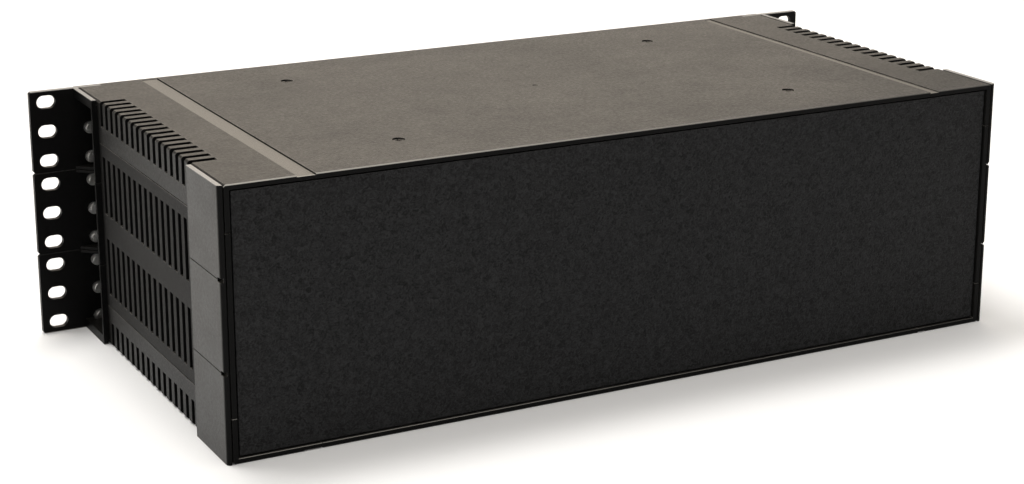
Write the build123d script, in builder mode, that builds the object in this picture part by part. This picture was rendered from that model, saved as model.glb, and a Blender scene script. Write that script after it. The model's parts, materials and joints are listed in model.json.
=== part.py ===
from build123d import *

import os
from math import cos, radians, sin

os.makedirs("parts", exist_ok=True)

# A three-unit rack-mounting power amplifier in a moulded plastic enclosure.
# +X is the right-hand side seen from the front, the front faces -Y, +Z is up.
# The origin is on the surface it stands on, at the middle of its width and depth.

# ---- driving dimensions, in millimetres ----

rack_unit = 44.45
unit_count = 3
rack_width = 482.6
height = unit_count * rack_unit - 0.75
body_width = 435.6
body_depth = 220.0
front_panel_thickness = 3.0
knob_height = 16.0

wall = 2.5
half_body = body_width / 2
side_inset = 3.0
half_side = half_body - side_inset
half_rack = rack_width / 2
mid_height = height / 2

total_depth = knob_height + front_panel_thickness + body_depth
rear_y = total_depth / 2
ear_front_y = rear_y - body_depth
ear_thickness = 3.0
ear_back_y = ear_front_y + ear_thickness
panel_front_y = ear_front_y - front_panel_thickness
body_mid_y = (ear_front_y + rear_y) / 2

# Covers: a centre plate that drops between two corner rails at top and bottom.
# A sunken strip shows between the plate and each rail, wide on the right and narrow on the left.
right_seam_x = 171.0
left_seam_x = 175.0
seam_clearance = 0.2
channel_outer_x = 180.0
channel_depth = 0.7
ledge_inner_x = 160.0
ledge_thickness = 2.3
plate_bed_gap = 0.2
skirt_height = rack_unit / 2
seam_gap = 0.4
edge_round = 1.0
edge_chamfer = 0.5

# Vents: the same row of slots in the rails and in the side panels.
vent_count = 17
vent_pitch = 8.3
vent_width = 4.2
vent_mid_y = 7.6
rail_vent_reach = 13.3
rail_vent_drop = 13.2
side_vent_low = 29.1
side_vent_height = 30.5

# Corner mouldings: a box behind each ear, and a cap over each rear corner.
ear_box_depth = 35.0
ear_wall = 2.0
ear_box_inner_x = 204.5
cap_length = 41.0
cap_round = 2.0
cap_groove = 0.6
cap_groove_depth = 1.4
cap_notch_depth = 1.6
cap_notch_length = 4.0
cap_notch_rise = 0.8
unit_split = 0.4
ear_notch = 1.0

# Rack slots, at the standard pitch of each unit.
slot_length = 10.0
slot_width = 7.0
slot_from_edge = 8.75
slot_x = half_rack - slot_from_edge
slot_step = 15.875

# Panel fixings, in a column beside the rack slots.
insert_x = 210.0
insert_radius = 3.25
insert_bore_radius = 2.0
panel_screw_radius = 1.95
panel_screw_head_radius = 3.7
panel_hole_radius = 2.2

# Cover fixings.
cover_screw_x = 112.0
cover_screw_span_y = 142.0
pillar_radius = 5.0
cover_screw_radius = 1.5
cover_hole_radius = 1.7
cover_screw_head_radius = 2.9
cover_screw_head_height = 1.0
cover_recess_radius = 3.3
cover_recess_depth = 1.6
pillar_bore_radius = 1.55
pillar_bore_depth = 14.0

# Rear panel.
rear_panel_inset = 1.0
rear_panel_half_width = 211.4
rear_panel_margin = 3.4

# Front panel layout, seen from the front.
lower_row_z = 40.0
upper_row_z = 92.0
inlet_x = -160.0
switch_x = -172.0
fuse_x = -132.0
input_x = (-70.0, -15.0)
speaker_x = (70.0, 130.0)
indicator_x = (-100.0, -42.5, 12.5)

unit_centres = [mid_height + (k - 1) * rack_unit for k in range(unit_count)]
slot_heights = [z + step * slot_step for z in unit_centres for step in (-1, 0, 1)]
vent_ys = [vent_mid_y + (k - (vent_count - 1) / 2) * vent_pitch for k in range(vent_count)]
cover_screw_ys = [body_mid_y - cover_screw_span_y / 2, body_mid_y + cover_screw_span_y / 2]


# ---- shared building steps ----


def bar(low, high, mode=Mode.ADD):
    """A rectangular block between two opposite corners, added to the part being built."""
    size = [abs(b - a) for a, b in zip(low, high)]
    middle = tuple((a + b) / 2 for a, b in zip(low, high))
    with Locations(middle):
        Box(*size, mode=mode)


def rod(start, radius, length, axis="Z", mode=Mode.ADD):
    """A round bar that starts at a point and runs along +X, +Y or +Z."""
    turns = {"X": (0, 90, 0), "Y": (-90, 0, 0), "Z": (0, 0, 0)}
    with Locations(Location(start, turns[axis])):
        Cylinder(
            radius,
            length,
            align=(Align.CENTER, Align.CENTER, Align.MIN),
            mode=mode,
        )


def finish(piece, label):
    """Names a finished piece and writes it as one STEP file."""
    piece.part.label = label
    export_step(piece.part, f"parts/{label}.step")


def finish_both_sides(piece, label):
    """Writes a right-hand piece and its left-hand mirror image."""
    finish(piece, f"right_{label}")
    with BuildPart() as other:
        mirror(piece.part, about=Plane.YZ)
    finish(other, f"left_{label}")


# ---- enclosure: centre plates ----

plate_low_z = height - wall

with BuildPart() as top_plate:
    plate_left_x = seam_clearance - left_seam_x
    plate_right_x = right_seam_x - seam_clearance
    bar((plate_left_x, ear_front_y, plate_low_z), (plate_right_x, rear_y, height))
    chamfer(top_plate.edges().filter_by(Axis.X).group_by(Axis.Z)[-1], edge_chamfer)
    for x in (-cover_screw_x, cover_screw_x):
        for y in cover_screw_ys:
            rod((x, y, plate_low_z), cover_hole_radius, wall, mode=Mode.SUBTRACT)
            recess_low = height - cover_recess_depth
            rod((x, y, recess_low), cover_recess_radius, cover_recess_depth, mode=Mode.SUBTRACT)
    gate_mark_radius = 1.6
    gate_mark_depth = 0.3
    gate_mark_at = (0, body_mid_y, height - gate_mark_depth)
    rod(gate_mark_at, gate_mark_radius, gate_mark_depth, mode=Mode.SUBTRACT)
finish(top_plate, "top_plate")

# The bottom plate is the same moulding turned over.
flip = Plane.XY.offset(mid_height)
with BuildPart() as bottom_plate:
    mirror(top_plate.part, about=flip)
finish(bottom_plate, "bottom_plate")

# ---- enclosure: corner rails with comb vents ----

rail_bottom_z = height - skirt_height + seam_gap / 2
ledge_top_z = plate_low_z - plate_bed_gap
ledge_low_z = ledge_top_z - ledge_thickness
channel_z = height - channel_depth
ledge_run_out = 2.5
ear_box_rear_y = ear_front_y + ear_box_depth
fit_gap = 0.2



def upper_rail_shape(seam_x):
    """A right-hand upper rail whose sunken strip meets the centre plate at one distance."""
    with BuildPart() as rail:
        with BuildSketch(Plane.XZ.offset(-ear_front_y)) as profile:
            with BuildLine():
                Polyline(
                    (ledge_inner_x, ledge_low_z),
                    (channel_outer_x, ledge_low_z),
                    (channel_outer_x + ledge_run_out, plate_low_z),
                    (half_side - wall, plate_low_z),
                    (half_side - wall, rail_bottom_z),
                    (half_side, rail_bottom_z),
                    (half_side, height - edge_round),
                    (half_side - edge_round, height),
                    (channel_outer_x, height),
                    (channel_outer_x, channel_z),
                    (seam_x, channel_z),
                    (seam_x, ledge_top_z),
                    (ledge_inner_x, ledge_top_z),
                    close=True,
                )
            make_face()
        extrude(profile.sketch, amount=-body_depth)
        # Room for the ear plate and for the box behind it.
        rail_cut_x = ear_box_inner_x - ear_wall - fit_gap
        bar(
            (rail_cut_x, ear_front_y - 1, 0),
            (half_body, ear_back_y + fit_gap, height + 1),
            mode=Mode.SUBTRACT,
        )
        bar(
            (rail_cut_x, ear_front_y - 1, 0),
            (half_body, ear_box_rear_y + fit_gap, plate_low_z),
            mode=Mode.SUBTRACT,
        )
        # Room for the top edge of the rear panel behind the ledge.
        bar(
            (ledge_inner_x - 1, rear_y - rear_panel_inset - wall - fit_gap, 0),
            (half_side - wall, rear_y + 1, plate_low_z),
            mode=Mode.SUBTRACT,
        )
        for y in vent_ys:
            bar(
                (half_side - rail_vent_reach, y - vent_width / 2, height - rail_vent_drop),
                (half_side + 1, y + vent_width / 2, height + 1),
                mode=Mode.SUBTRACT,
            )
        rear_edges = rail.edges().filter_by(Axis.X).group_by(Axis.Y)[-1]
        chamfer(rear_edges.group_by(Axis.Z)[-1], edge_chamfer)
    return rail.part


for side_name, seam_x in (("right", right_seam_x), ("left", left_seam_x)):
    right_hand_rail = upper_rail_shape(seam_x)
    with BuildPart() as upper_rail:
        if side_name == "left":
            mirror(right_hand_rail, about=Plane.YZ)
        else:
            add(right_hand_rail)
    finish(upper_rail, f"{side_name}_upper_rail")
    with BuildPart() as lower_rail:
        mirror(upper_rail.part, about=flip)
    finish(lower_rail, f"{side_name}_lower_rail")

# ---- enclosure: two-unit side panels with two rows of vents ----

with BuildPart() as side_panel:
    bar(
        (half_side - wall, ear_box_rear_y + fit_gap, skirt_height + seam_gap / 2),
        (half_side, rear_y, height - skirt_height - seam_gap / 2),
    )
    for low in (side_vent_low, height - side_vent_low - side_vent_height):
        for y in vent_ys:
            bar(
                (half_side - wall - 1, y - vent_width / 2, low),
                (half_side + 1, y + vent_width / 2, low + side_vent_height),
                mode=Mode.SUBTRACT,
            )
finish_both_sides(side_panel, "side_panel")

# ---- enclosure: blank rear panel ----

with BuildPart() as rear_panel:
    bar(
        (-rear_panel_half_width, rear_y - rear_panel_inset - wall, rear_panel_margin),
        (rear_panel_half_width, rear_y - rear_panel_inset, height - rear_panel_margin),
    )
finish(rear_panel, "rear_panel")

# ---- enclosure: one-unit rack ears with the box behind them ----

lip_under_cover = 0.4
lip_top_z = plate_low_z - lip_under_cover
rib_thickness = 1.5
rib_reach = 14.0
rib_run = 13.0
insert_relief = 3.0
unit_names = ("lower", "middle", "upper")


def ear_span(index):
    """Lowest and highest point of one unit's ear or cap."""
    low = 0 if index == 0 else index * rack_unit - 0.375 + unit_split / 2
    high = height if index == unit_count - 1 else (index + 1) * rack_unit - 0.375 - unit_split / 2
    return low, high


for index, unit_name in enumerate(unit_names):
    ear_low, ear_high = ear_span(index)
    box_low = ear_low if index > 0 else height - lip_top_z
    box_high = ear_high if index < unit_count - 1 else lip_top_z
    with BuildPart() as ear:
        with BuildSketch(Plane.XZ.offset(-ear_front_y)):
            ear_middle = ((ear_box_inner_x - ear_wall + half_rack) / 2, (ear_low + ear_high) / 2)
            with Locations(ear_middle):
                Rectangle(half_rack - ear_box_inner_x + ear_wall, ear_high - ear_low)
            outer_corners = vertices().group_by(Axis.X)[-1]
            chamfer(outer_corners, ear_notch)
            for z in slot_heights[index * 3 : index * 3 + 3]:
                with Locations((slot_x, z)):
                    SlotOverall(slot_length, slot_width, mode=Mode.SUBTRACT)
                with Locations((insert_x, z)):
                    Circle(insert_radius, mode=Mode.SUBTRACT)
        extrude(amount=-ear_thickness)
        # The inner wall and the rear web of the box.
        inner_x = ear_box_inner_x - ear_wall
        bar((inner_x, ear_back_y, box_low), (ear_box_inner_x, ear_box_rear_y, box_high))
        bar((inner_x, ear_box_rear_y - ear_wall, box_low), (half_body, ear_box_rear_y, box_high))
        # Ribs that stiffen the ear where two units meet, and a full lip at the ends.
        for at_top in (False, True):
            end_lip = (index == 0 and not at_top) or (index == unit_count - 1 and at_top)
            if end_lip:
                lip_edge = box_high if at_top else box_low
                lip_in = lip_edge - ear_wall if at_top else lip_edge + ear_wall
                bar((inner_x, ear_back_y, lip_edge), (half_body, ear_box_rear_y, lip_in))
                outer_edge = height if at_top else 0
                upstand_x = half_side + cap_groove
                bar((upstand_x, ear_back_y, lip_in), (half_body, ear_box_rear_y, outer_edge))
            else:
                rib_edge = ear_high if at_top else ear_low
                rib_z = rib_edge - rib_thickness if at_top else rib_edge
                with BuildSketch(Plane.XY.offset(rib_z)):
                    with BuildLine():
                        Polyline(
                            (ear_box_inner_x, ear_back_y),
                            (ear_box_inner_x + rib_reach, ear_back_y),
                            (ear_box_inner_x, ear_back_y + rib_run),
                            close=True,
                        )
                    make_face()
                extrude(amount=rib_thickness)
        # Room around the threaded inserts where a lip passes over them.
        for z in slot_heights[index * 3 : index * 3 + 3]:
            rod((insert_x, ear_back_y, z), insert_radius + fit_gap, insert_relief, "Y", Mode.SUBTRACT)
    finish_both_sides(ear, f"{unit_name}_ear")

# ---- enclosure: one-unit caps over the rear corners ----

for index, unit_name in enumerate(unit_names):
    cap_low, cap_high = ear_span(index)
    with BuildPart() as cap:
        bar((half_side, rear_y - cap_length, cap_low), (half_body, rear_y, cap_high))
        outer_rear_edge = cap.edges().filter_by(Axis.Z).group_by(Axis.Y)[-1].sort_by(Axis.X)[-1]
        fillet(outer_rear_edge, cap_round)
        # A shadow groove against the wall behind, and along the covers.
        groove_x = half_side + cap_groove
        bar(
            (half_side - 1, rear_y - cap_groove_depth, cap_low - 1),
            (groove_x, rear_y + 1, cap_high + 1),
            mode=Mode.SUBTRACT,
        )
        # A notch in the rear corner wherever two caps meet.
        meeting_heights = [cap_low] * (index > 0) + [cap_high] * (index < unit_count - 1)
        for z in meeting_heights:
            bar(
                (half_body - cap_notch_depth, rear_y - cap_notch_length, z - cap_notch_rise),
                (half_body + 1, rear_y + 1, z + cap_notch_rise),
                mode=Mode.SUBTRACT,
            )
        if index == unit_count - 1:
            bar(
                (half_side - 1, rear_y - cap_length - 1, cap_high - cap_groove_depth),
                (groove_x, rear_y + 1, cap_high + 1),
                mode=Mode.SUBTRACT,
            )
        if index == 0:
            bar(
                (half_side - 1, rear_y - cap_length - 1, cap_low - 1),
                (groove_x, rear_y + 1, cap_low + cap_groove_depth),
                mode=Mode.SUBTRACT,
            )
    finish_both_sides(cap, f"{unit_name}_cap")

# ---- front panel with its cut-outs ----

panel_side_gap = 0.5
panel_corner_radius = 2.0
switch_cutout = (22.0, 30.0)
inlet_cutout = (28.0, 21.0)
fuse_hole_radius = 7.2
bushing_radius = 4.5
socket_hole_radius = 12.0
lens_radius = 2.5
latch_rise = 12.9
latch_pocket = (8.6, 3.6)
running_gap = 0.05
hole_gap = 0.2

with BuildPart() as front_panel:
    with BuildSketch(Plane.XZ.offset(-panel_front_y)):
        with Locations((0, mid_height)):
            RectangleRounded(
                body_width - 2 * panel_side_gap,
                height - 2 * panel_side_gap,
                panel_corner_radius,
            )
        for x in (-insert_x, insert_x):
            for z in slot_heights:
                with Locations((x, z)):
                    Circle(panel_hole_radius, mode=Mode.SUBTRACT)
        with Locations((switch_x, upper_row_z)):
            Rectangle(*switch_cutout, mode=Mode.SUBTRACT)
        with Locations((inlet_x, lower_row_z)):
            Rectangle(*inlet_cutout, mode=Mode.SUBTRACT)
        with Locations((fuse_x, upper_row_z)):
            Circle(fuse_hole_radius, mode=Mode.SUBTRACT)
        for x in input_x:
            with Locations((x, upper_row_z)):
                Circle(bushing_radius + hole_gap, mode=Mode.SUBTRACT)
        for x in (*input_x, *speaker_x):
            with Locations((x, lower_row_z)):
                Circle(socket_hole_radius, mode=Mode.SUBTRACT)
        for x in input_x:
            with Locations((x, lower_row_z + latch_rise)):
                Rectangle(*latch_pocket, mode=Mode.SUBTRACT)
        for x in indicator_x:
            with Locations((x, upper_row_z)):
                Circle(lens_radius + hole_gap, mode=Mode.SUBTRACT)
    extrude(amount=-front_panel_thickness)
    # Countersinks for the panel screws.
    for x in (-insert_x, insert_x):
        for z in slot_heights:
            sink = Location((x, panel_front_y, z), (-90, 0, 0))
            with Locations(sink):
                Cone(
                    panel_screw_head_radius + hole_gap,
                    panel_hole_radius,
                    panel_screw_head_radius - panel_hole_radius + hole_gap,
                    align=(Align.CENTER, Align.CENTER, Align.MIN),
                    mode=Mode.SUBTRACT,
                )
finish(front_panel, "front_panel")

# ---- fasteners of the enclosure ----

insert_length = 4.2
screw_tip_y = ear_front_y + 5.0

with BuildPart() as panel_inserts:
    for x in (-insert_x, insert_x):
        for z in slot_heights:
            rod((x, ear_front_y, z), insert_radius - 0.02, insert_length, "Y")
            rod((x, ear_front_y - 1, z), insert_bore_radius, insert_length + 2, "Y", Mode.SUBTRACT)
finish(panel_inserts, "panel_inserts")

screw_head_depth = panel_screw_head_radius - panel_screw_radius
driver_socket_radius = 1.25
driver_socket_depth = 1.2

with BuildPart() as panel_screws:
    for x in (-insert_x, insert_x):
        for z in slot_heights:
            rod((x, panel_front_y, z), panel_screw_radius, screw_tip_y - panel_front_y, "Y")
            with Locations(Location((x, panel_front_y, z), (-90, 0, 0))):
                Cone(
                    panel_screw_head_radius,
                    panel_screw_radius,
                    screw_head_depth,
                    align=(Align.CENTER, Align.CENTER, Align.MIN),
                )
            with BuildSketch(Plane.XZ.offset(-panel_front_y)):
                with Locations((x, z)):
                    RegularPolygon(driver_socket_radius, 6)
            extrude(amount=-driver_socket_depth, mode=Mode.SUBTRACT)
finish(panel_screws, "panel_screws")

cover_head_top = height - cover_recess_depth + cover_screw_head_height
cover_screw_length = 12.0
cross_width = 0.9
cross_length = 3.6
cross_depth = 0.7

with BuildPart() as cover_screws:
    for x in (-cover_screw_x, cover_screw_x):
        for y in cover_screw_ys:
            head_low = height - cover_recess_depth
            rod((x, y, head_low), cover_screw_head_radius, cover_screw_head_height)
            rod((x, y, head_low - cover_screw_length), cover_screw_radius, cover_screw_length)
            cross_z = cover_head_top - cross_depth / 2
            with Locations((x, y, cross_z)):
                Box(cross_length, cross_width, cross_depth, mode=Mode.SUBTRACT)
                Box(cross_width, cross_length, cross_depth, mode=Mode.SUBTRACT)
    mirror(about=flip)
finish(cover_screws, "cover_screws")

with BuildPart() as cover_pillars:
    for x in (-cover_screw_x, cover_screw_x):
        for y in cover_screw_ys:
            rod((x, y, wall), pillar_radius, height - 2 * wall)
            bore_low = plate_low_z - pillar_bore_depth
            rod((x, y, bore_low), pillar_bore_radius, pillar_bore_depth, mode=Mode.SUBTRACT)
            rod((x, y, wall), pillar_bore_radius, pillar_bore_depth, mode=Mode.SUBTRACT)
finish(cover_pillars, "cover_pillars")

# ---- chassis tray on the bottom plate ----

tray_low = wall + 0.2
tray_thickness = 1.5
tray_top = tray_low + tray_thickness
tray_half_width = 156.0
tray_front_y = ear_front_y + 8.0
tray_rear_y = rear_y - 8.0
transformer_at = (0.0, 35.0)
transformer_bolt_radius = 4.0

with BuildPart() as chassis_tray:
    bar((-tray_half_width, tray_front_y, tray_low), (tray_half_width, tray_rear_y, tray_top))
    for x in (-cover_screw_x, cover_screw_x):
        for y in cover_screw_ys:
            rod((x, y, tray_low), pillar_radius + 0.5, tray_thickness, mode=Mode.SUBTRACT)
finish(chassis_tray, "chassis_tray")

# ---- ring-core mains transformer, clamped by one bolt ----

transformer_radius = 60.0
transformer_hole_radius = 18.0
transformer_height = 56.0
transformer_round = 12.0
pad_thickness = 1.5
clamp_thickness = 2.0
clamp_radius = 44.0
pad_top = tray_top + pad_thickness
transformer_top = pad_top + transformer_height

with BuildPart() as transformer_pad:
    rod((*transformer_at, tray_top), transformer_radius - 4, pad_thickness)
    rod((*transformer_at, tray_top), transformer_bolt_radius + 0.5, pad_thickness, mode=Mode.SUBTRACT)
finish(transformer_pad, "transformer_pad")

with BuildPart() as transformer:
    rod((*transformer_at, pad_top), transformer_radius, transformer_height)
    rod((*transformer_at, pad_top), transformer_hole_radius, transformer_height, mode=Mode.SUBTRACT)
    rims = transformer.edges().filter_by(GeomType.CIRCLE)
    fillet(rims, transformer_round)
finish(transformer, "transformer")

with BuildPart() as transformer_clamp:
    rod((*transformer_at, transformer_top), clamp_radius, clamp_thickness)
    rod(
        (*transformer_at, transformer_top),
        transformer_bolt_radius + 0.3,
        clamp_thickness,
        mode=Mode.SUBTRACT,
    )
finish(transformer_clamp, "transformer_clamp")

bolt_head_radius = 7.5
bolt_head_height = 5.0
bolt_low = tray_top + 0.2

with BuildPart() as transformer_bolt:
    clamp_top = transformer_top + clamp_thickness
    rod((*transformer_at, bolt_low), transformer_bolt_radius, clamp_top - bolt_low)
    with BuildSketch(Plane.XY.offset(clamp_top)):
        with Locations(transformer_at):
            RegularPolygon(bolt_head_radius, 6)
    extrude(amount=bolt_head_height)
finish(transformer_bolt, "transformer_bolt")

# ---- heatsinks behind the side vents ----

sink_base_x = 172.0
sink_base_thickness = 6.0
sink_fin_tip_x = 206.0
sink_fin_thickness = 2.2
sink_fin_count = 12
sink_front_y = ear_box_rear_y + 8.0
sink_rear_y = rear_y - 12.0
sink_low_z = 16.0
sink_high_z = height - 16.0
sink_fin_pitch = (sink_rear_y - sink_front_y - sink_fin_thickness) / (sink_fin_count - 1)

with BuildPart() as heatsink:
    bar(
        (sink_base_x, sink_front_y, sink_low_z),
        (sink_base_x + sink_base_thickness, sink_rear_y, sink_high_z),
    )
    for k in range(sink_fin_count):
        fin_y = sink_front_y + k * sink_fin_pitch
        bar(
            (sink_base_x, fin_y, sink_low_z),
            (sink_fin_tip_x, fin_y + sink_fin_thickness, sink_high_z),
        )
finish_both_sides(heatsink, "heatsink")

device_size = (5.0, 16.0, 20.0)
device_ys = (-20.0, 10.0, 40.0, 70.0)
device_z = 88.0

with BuildPart() as output_transistors:
    for y in device_ys:
        with Locations((sink_base_x - device_size[0] / 2, y, device_z)):
            Box(*device_size)
    mirror(about=Plane.YZ)
finish(output_transistors, "output_transistors")

# ---- amplifier boards, standing beside the heatsinks ----

board_thickness = 1.6
amp_board_x = 160.0
amp_board_low_z = 20.0
amp_board_high_z = 112.0
amp_board_front_y = -45.0
amp_board_rear_y = 95.0
board_margin = 8.0
amp_cap_radius = 8.0
amp_cap_height = 16.0
relay_size = (14.0, 28.0, 16.0)

with BuildPart() as amplifier_board:
    bar(
        (amp_board_x - board_thickness, amp_board_front_y, amp_board_low_z),
        (amp_board_x, amp_board_rear_y, amp_board_high_z),
    )
    board_face = amp_board_x - board_thickness
    for y in (-25.0, 0.0, 50.0, 75.0):
        rod((board_face - amp_cap_height, y, 40.0), amp_cap_radius, amp_cap_height, "X")
    with Locations((board_face - relay_size[0] / 2, 25.0, 78.0)):
        Box(*relay_size)
finish_both_sides(amplifier_board, "amplifier_board")

# ---- power supply board, its capacitors and the rectifier ----

supply_low_z = 14.0
supply_top_z = supply_low_z + board_thickness
supply_x = (76.0, 150.0)
supply_y = (-42.0, 66.0)
capacitor_radius = 15.0
capacitor_height = 50.0
capacitor_round = 1.5

with BuildPart() as power_supply_board:
    bar((supply_x[0], supply_y[0], supply_low_z), (supply_x[1], supply_y[1], supply_top_z))
finish(power_supply_board, "power_supply_board")

with BuildPart() as filter_capacitors:
    for x in (92.0, 124.0):
        for y in (-20.0, 44.0):
            rod((x, y, supply_top_z), capacitor_radius, capacitor_height)
    fillet(filter_capacitors.edges().group_by(Axis.Z)[-1], capacitor_round)
finish(filter_capacitors, "filter_capacitors")

rectifier_size = (28.0, 28.0, 11.0)
rectifier_at = (-112.0, 10.0)

with BuildPart() as bridge_rectifier:
    with Locations((*rectifier_at, tray_top + rectifier_size[2] / 2)):
        Box(*rectifier_size)
    hole_low = (*rectifier_at, tray_top)
    rod(hole_low, 2.5, rectifier_size[2], mode=Mode.SUBTRACT)
    for side_x in (-9.0, 9.0):
        for side_y in (-9.0, 9.0):
            tab_at = (
                rectifier_at[0] + side_x,
                rectifier_at[1] + side_y,
                tray_top + rectifier_size[2] + 4.0,
            )
            with Locations(tab_at):
                Box(0.8, 6.3, 8.0)
finish(bridge_rectifier, "bridge_rectifier")

# ---- input board between the sockets and the level controls ----

input_board_z = 64.0
input_board_x = (-98.0, 12.0)
input_board_y = (-94.0, -46.0)

with BuildPart() as input_board:
    bar(
        (input_board_x[0], input_board_y[0], input_board_z),
        (input_board_x[1], input_board_y[1], input_board_z + board_thickness),
    )
    chip_size = (10.0, 7.0, 3.5)
    for x in (-80.0, -60.0, -25.0, -5.0):
        with Locations((x, -62.0, input_board_z + board_thickness + chip_size[2] / 2)):
            Box(*chip_size)
finish(input_board, "input_board")

standoff_radius = 3.0

with BuildPart() as board_standoffs:
    for x in (supply_x[0] + board_margin, supply_x[1] - board_margin):
        for y in (supply_y[0] + board_margin / 2, supply_y[1] - board_margin / 2):
            rod((x, y, tray_top), standoff_radius, supply_low_z - tray_top)
    for x in (input_board_x[0] + board_margin / 2, input_board_x[1] - board_margin / 2):
        y = input_board_y[1] - board_margin / 2
        rod((x, y, tray_top), standoff_radius, input_board_z - tray_top)
    for y in (amp_board_front_y + board_margin, amp_board_rear_y - board_margin):
        for z in (amp_board_low_z + board_margin, amp_board_high_z - board_margin):
            reach = sink_base_x - amp_board_x
            rod((amp_board_x, y, z), standoff_radius, reach, "X")
            rod((-sink_base_x, y, z), standoff_radius, reach, "X")
finish(board_standoffs, "board_standoffs")

# ---- power switch: a rocker on two side pins ----

bezel = (25.0, 33.0)
bezel_thickness = 2.0
switch_body_depth = 20.0
rocker_pocket = (17.2, 25.2)
rocker_width = 16.4
rocker_half_height = 10.8
rocker_swing = 10.0
rocker_pin_radius = 1.5
rocker_pin_reach = 1.2
rocker_axis_y = panel_front_y + 2.0
rocker_face_reach = 5.0
rocker_end_reach = 3.6
rocker_back = 2.6
pocket_floor_y = rocker_axis_y + 7.0

with BuildPart() as switch_housing:
    bar(
        (switch_x - bezel[0] / 2, panel_front_y - bezel_thickness, upper_row_z - bezel[1] / 2),
        (switch_x + bezel[0] / 2, panel_front_y, upper_row_z + bezel[1] / 2),
    )
    body_half_width = switch_cutout[0] / 2 - hole_gap
    body_half_height = switch_cutout[1] / 2 - hole_gap
    bar(
        (switch_x - body_half_width, panel_front_y, upper_row_z - body_half_height),
        (switch_x + body_half_width, panel_front_y + switch_body_depth, upper_row_z + body_half_height),
    )
    bar(
        (
            switch_x - rocker_pocket[0] / 2,
            panel_front_y - bezel_thickness - 1,
            upper_row_z - rocker_pocket[1] / 2,
        ),
        (switch_x + rocker_pocket[0] / 2, pocket_floor_y, upper_row_z + rocker_pocket[1] / 2),
        mode=Mode.SUBTRACT,
    )
    pin_hole_reach = rocker_width / 2 + rocker_pin_reach + hole_gap
    rod(
        (switch_x - pin_hole_reach, rocker_axis_y, upper_row_z),
        rocker_pin_radius + running_gap,
        2 * pin_hole_reach,
        "X",
        Mode.SUBTRACT,
    )
finish(switch_housing, "switch_housing")


def rocker_point(depth, rise):
    """A point of the rocker's outline, tilted to the off position, as plane coordinates."""
    tilt = radians(rocker_swing)
    y = depth * cos(tilt) - rise * sin(tilt)
    z = depth * sin(tilt) + rise * cos(tilt)
    return rocker_axis_y + y, upper_row_z + z


with BuildPart() as power_rocker:
    with BuildSketch(Plane.YZ.offset(switch_x - rocker_width / 2)):
        with BuildLine():
            Polyline(
                rocker_point(-rocker_end_reach - 1.8, rocker_half_height),
                rocker_point(-rocker_face_reach + 1.4, 0),
                rocker_point(-rocker_end_reach - 1.8, -rocker_half_height),
                rocker_point(0, -rocker_half_height),
                rocker_point(rocker_back, 0),
                rocker_point(0, rocker_half_height),
                close=True,
            )
        make_face()
    extrude(amount=rocker_width)
    rod(
        (switch_x - rocker_width / 2 - rocker_pin_reach, rocker_axis_y, upper_row_z),
        rocker_pin_radius,
        rocker_width + 2 * rocker_pin_reach,
        "X",
    )
finish(power_rocker, "power_rocker")

# ---- mains inlet with three blades ----

inlet_flange = (50.0, 24.0)
inlet_flange_thickness = 2.5
inlet_depth = 24.0
inlet_cavity = (24.6, 16.8)
inlet_cavity_depth = 17.5
inlet_corner = 4.0
inlet_screw_x = 20.0
flange_screw_radius = 1.5
flange_hole_radius = 1.7

with BuildPart() as mains_inlet:
    flange_front_y = panel_front_y - inlet_flange_thickness
    with BuildSketch(Plane.XZ.offset(-flange_front_y)):
        with Locations((inlet_x, lower_row_z)):
            RectangleRounded(*inlet_flange, inlet_corner)
        with Locations((inlet_x - inlet_screw_x, lower_row_z), (inlet_x + inlet_screw_x, lower_row_z)):
            Circle(flange_hole_radius, mode=Mode.SUBTRACT)
    extrude(amount=-inlet_flange_thickness)
    shell_half_width = inlet_cutout[0] / 2 - hole_gap
    shell_half_height = inlet_cutout[1] / 2 - hole_gap
    bar(
        (inlet_x - shell_half_width, panel_front_y, lower_row_z - shell_half_height),
        (inlet_x + shell_half_width, flange_front_y + inlet_depth, lower_row_z + shell_half_height),
    )
    with BuildSketch(Plane.XZ.offset(-flange_front_y)):
        with Locations((inlet_x, lower_row_z)):
            Rectangle(*inlet_cavity)
        chamfer(vertices().group_by(Axis.Z)[-1], inlet_corner)
    extrude(amount=-inlet_cavity_depth, mode=Mode.SUBTRACT)
finish(mains_inlet, "mains_inlet")

blade = (2.0, 12.0, 4.0)
blade_spacing = 7.0
earth_blade_rise = 2.0
blade_mid_y = panel_front_y - inlet_flange_thickness + inlet_cavity_depth - blade[1] / 2

with BuildPart() as inlet_blades:
    with Locations(
        (inlet_x - blade_spacing, blade_mid_y, lower_row_z - earth_blade_rise),
        (inlet_x + blade_spacing, blade_mid_y, lower_row_z - earth_blade_rise),
        (inlet_x, blade_mid_y, lower_row_z + earth_blade_rise),
    ):
        Box(*blade)
finish(inlet_blades, "inlet_blades")

# ---- fuse holder with a quarter-turn cap ----

fuse_flange_radius = 9.0
fuse_flange_thickness = 2.0
fuse_body_depth = 34.0
fuse_cap_radius = 6.6
fuse_cap_height = 6.0
fuse_stem_radius = 4.0
fuse_stem_length = 14.0
fuse_face_y = panel_front_y - fuse_flange_thickness

with BuildPart() as fuse_holder:
    rod((fuse_x, fuse_face_y, upper_row_z), fuse_flange_radius, fuse_flange_thickness, "Y")
    rod((fuse_x, panel_front_y, upper_row_z), fuse_hole_radius - hole_gap, fuse_body_depth, "Y")
    rod(
        (fuse_x, fuse_face_y, upper_row_z),
        fuse_stem_radius + running_gap,
        fuse_stem_length + 1,
        "Y",
        Mode.SUBTRACT,
    )
finish(fuse_holder, "fuse_holder")

cap_gap = 0.3
driver_slot = (9.0, 1.4, 1.8)

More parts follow.
